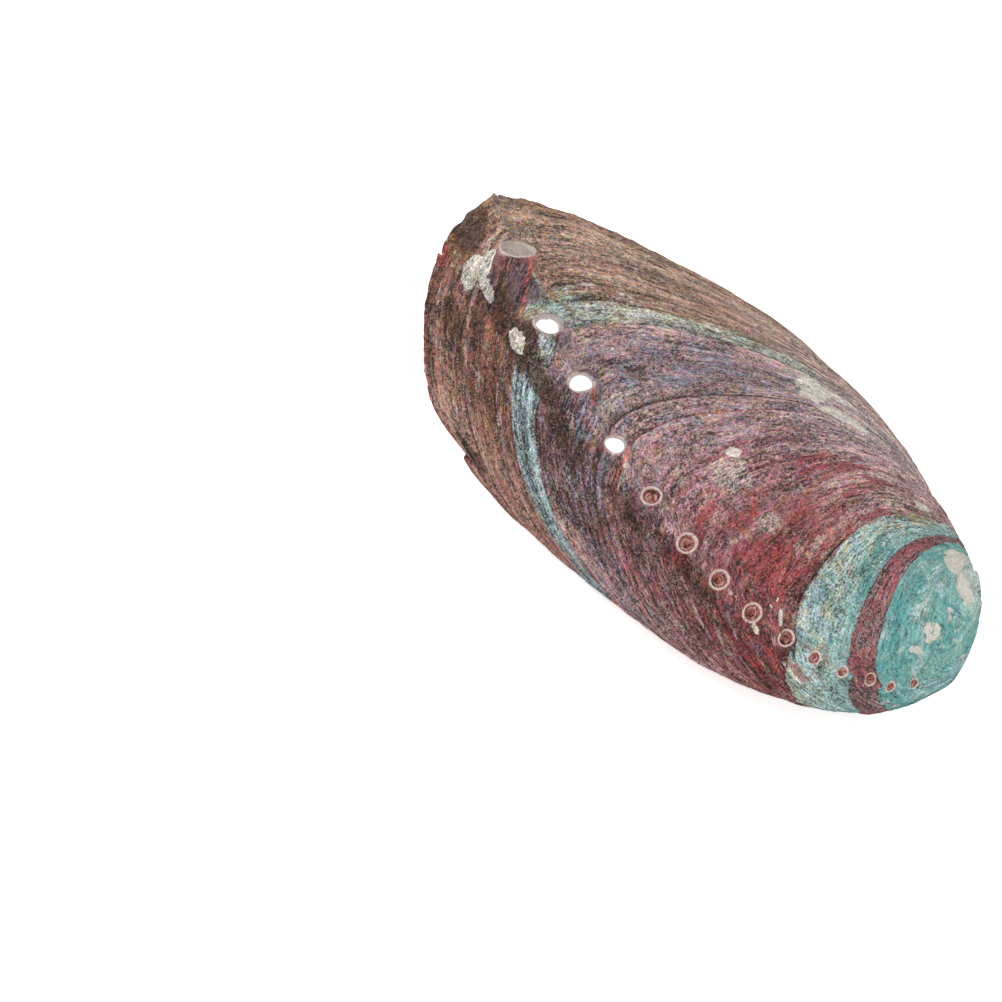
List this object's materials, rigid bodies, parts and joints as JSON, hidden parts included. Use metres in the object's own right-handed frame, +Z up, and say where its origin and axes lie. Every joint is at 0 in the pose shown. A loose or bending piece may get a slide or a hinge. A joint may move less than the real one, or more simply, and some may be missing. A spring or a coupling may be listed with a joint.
{
  "type": "abalone shell",
  "caption": "Ear-shaped domed sea shell with a flat rim, a wide hollow underneath, a row of open and sealed breathing holes and a low worn spire.",
  "frame": {"origin": "middle of the footprint, on the plane of the rim", "axes": "+Y towards the growing front edge, +Z up, the row of holes on the -X side"},
  "size_m": [0.11, 0.1412, 0.0288],
  "materials": {
    "weathered_shell": "weathered, matt outside"
  },
  "bodies": {
    "root": {"abalone_shell": "weathered_shell"}
  },
  "joints": []
}
